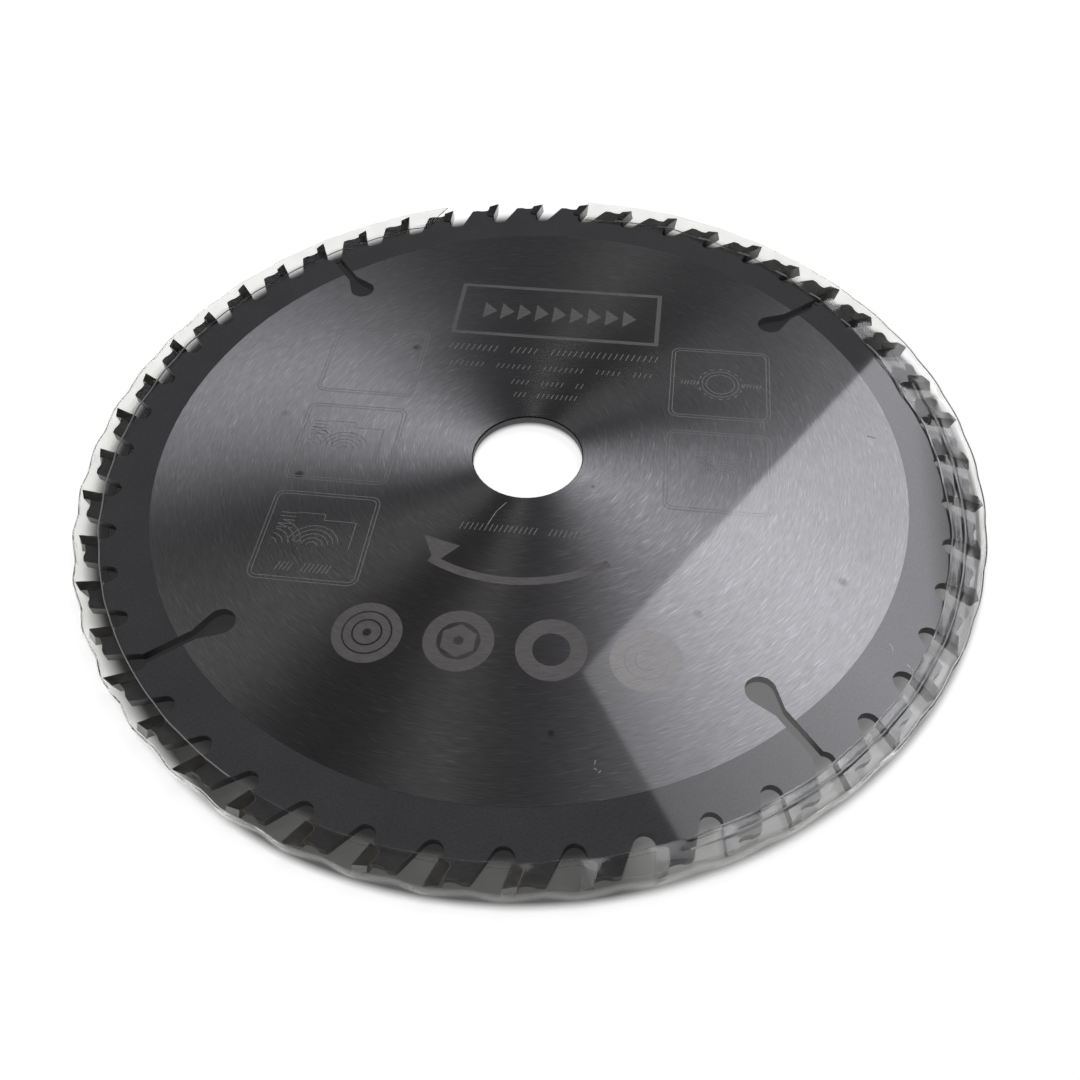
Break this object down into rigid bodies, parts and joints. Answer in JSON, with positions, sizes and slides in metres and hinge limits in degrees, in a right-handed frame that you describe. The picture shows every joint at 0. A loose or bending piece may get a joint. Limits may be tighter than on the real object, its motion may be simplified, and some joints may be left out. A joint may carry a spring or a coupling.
{
  "type": "tct circular saw blade",
  "caption": "Circular saw blade with brazed carbide tips, a central bore, keyhole expansion slots and a clear clip-on tooth guard.",
  "frame": {"origin": "centre of the bore, halfway through the steel plate", "axes": "+Z is the bore's axis and points out of the marked side; the part lies flat, and the gap in the guard is on the +Y side"},
  "size_m": [0.1612, 0.1604, 0.0036],
  "materials": {
    "plate_steel": "circular ground centre, matt ring outside it",
    "carbide": "ground",
    "braze": "satin",
    "clear_guard": "clear, glossy, slightly wrinkled"
  },
  "bodies": {
    "root": {"blade_plate": "plate_steel", "braze_joints": "braze", "tooth_guard": "clear_guard", "tip_01": "carbide", "tip_02": "carbide", "tip_03": "carbide", "tip_04": "carbide", "tip_05": "carbide", "tip_06": "carbide", "tip_07": "carbide", "tip_08": "carbide", "tip_09": "carbide", "tip_10": "carbide", "tip_11": "carbide", "tip_12": "carbide", "tip_13": "carbide", "tip_14": "carbide", "tip_15": "carbide", "tip_16": "carbide", "tip_17": "carbide", "tip_18": "carbide", "tip_19": "carbide", "tip_20": "carbide", "tip_21": "carbide", "tip_22": "carbide", "tip_23": "carbide", "tip_24": "carbide", "tip_25": "carbide", "tip_26": "carbide", "tip_27": "carbide", "tip_28": "carbide", "tip_29": "carbide", "tip_30": "carbide", "tip_31": "carbide", "tip_32": "carbide", "tip_33": "carbide", "tip_34": "carbide", "tip_35": "carbide", "tip_36": "carbide", "tip_37": "carbide", "tip_38": "carbide", "tip_39": "carbide", "tip_40": "carbide", "tip_41": "carbide", "tip_42": "carbide", "tip_43": "carbide", "tip_44": "carbide", "tip_45": "carbide", "tip_46": "carbide", "tip_47": "carbide", "tip_48": "carbide"}
  },
  "joints": []
}
